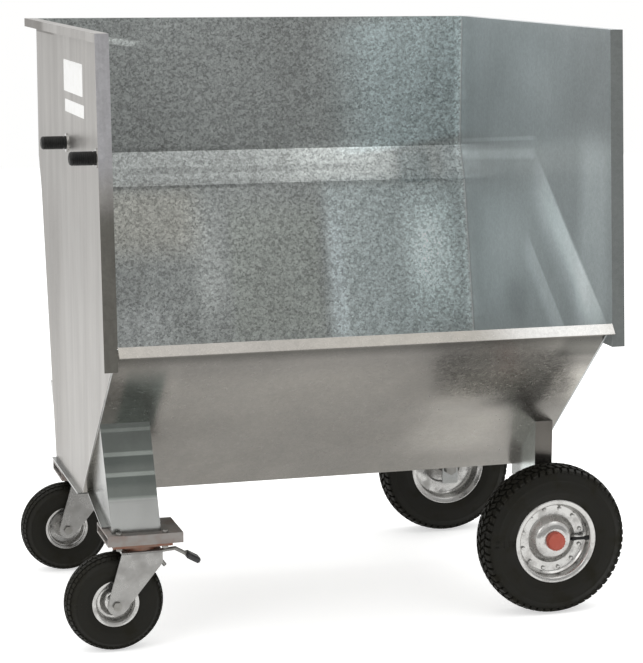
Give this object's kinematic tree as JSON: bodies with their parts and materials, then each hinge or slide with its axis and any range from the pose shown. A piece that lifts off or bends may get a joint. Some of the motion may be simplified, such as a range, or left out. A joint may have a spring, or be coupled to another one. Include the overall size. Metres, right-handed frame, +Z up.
{
  "type": "manure wagon",
  "caption": "Open tub of galvanised sheet with a low loading side and sloped panel, pushed by end grips, on fixed pneumatic wheels at one end and swivel castors at the other.",
  "frame": {"origin": "on the floor, under the middle of the whole wagon", "axes": "+X from the handle end towards the wheel end, +Y from the loading side towards the back, +Z up"},
  "size_m": [1.497, 1.2066, 1.54],
  "materials": {
    "galvanised_tub": "galvanised, spangled",
    "galvanised_frame": "galvanised",
    "dark_steel": "dull, with rust",
    "zinc_plate": "bright zinc plated",
    "tyre_rubber": "matt black",
    "grip_rubber": "satin black",
    "pedal_plastic": "matt black",
    "cap_plastic": "satin red"
  },
  "bodies": {
    "wagon": {"back_wall": "galvanised_tub", "handle_end_wall": "galvanised_tub", "wheel_end_wall": "galvanised_tub", "loading_panel": "galvanised_tub", "floor_panel": "galvanised_tub", "handle_end_rail": "galvanised_frame", "castor_leg_loading": "galvanised_frame", "castor_base_plate_loading": "dark_steel", "castor_head_loading": "dark_steel", "axle_leg_loading": "galvanised_frame", "stub_axle_loading": "dark_steel", "push_handle_loading": "zinc_plate", "handle_grip_loading": "grip_rubber", "castor_leg_back": "galvanised_frame", "castor_base_plate_back": "dark_steel", "castor_head_back": "dark_steel", "axle_leg_back": "galvanised_frame", "stub_axle_back": "dark_steel", "push_handle_back": "zinc_plate", "handle_grip_back": "grip_rubber"},
    "castor_swivel_loading": {"castor_fork_loading": "zinc_plate", "castor_bolt_loading": "zinc_plate", "brake_lever_loading": "zinc_plate", "brake_pedal_loading": "pedal_plastic"},
    "castor_wheel_loading": {"castor_rim_loading": "zinc_plate", "castor_tyre_loading": "tyre_rubber"},
    "main_wheel_loading": {"main_rim_loading": "zinc_plate", "main_tyre_loading": "tyre_rubber", "hub_cap_loading": "cap_plastic"},
    "castor_swivel_back": {"castor_fork_back": "zinc_plate", "castor_bolt_back": "zinc_plate", "brake_lever_back": "zinc_plate", "brake_pedal_back": "pedal_plastic"},
    "castor_wheel_back": {"castor_rim_back": "zinc_plate", "castor_tyre_back": "tyre_rubber"},
    "main_wheel_back": {"main_rim_back": "zinc_plate", "main_tyre_back": "tyre_rubber", "hub_cap_back": "cap_plastic"}
  },
  "joints": [
    {"name": "castor_swivel_loading", "type": "hinge", "parent": "wagon", "child": "castor_swivel_loading", "pos_m": [-0.5575, -0.30495, 0.272], "axis": [0, 0, 1], "continuous": true},
    {"name": "castor_wheel_loading_spin", "type": "hinge", "parent": "castor_swivel_loading", "child": "castor_wheel_loading", "pos_m": [-0.6235, -0.30495, 0.125], "axis": [0, 1, 0], "continuous": true},
    {"name": "main_wheel_loading_spin", "type": "hinge", "parent": "wagon", "child": "main_wheel_loading", "pos_m": [0.5485, -0.30295, 0.2], "axis": [0, 1, 0], "continuous": true},
    {"name": "castor_swivel_back", "type": "hinge", "parent": "wagon", "child": "castor_swivel_back", "pos_m": [-0.5575, 0.42805, 0.272], "axis": [0, 0, 1], "continuous": true},
    {"name": "castor_wheel_back_spin", "type": "hinge", "parent": "castor_swivel_back", "child": "castor_wheel_back", "pos_m": [-0.6235, 0.42805, 0.125], "axis": [0, 1, 0], "continuous": true},
    {"name": "main_wheel_back_spin", "type": "hinge", "parent": "wagon", "child": "main_wheel_back", "pos_m": [0.5485, 0.54905, 0.2], "axis": [0, 1, 0], "continuous": true}
  ]
}
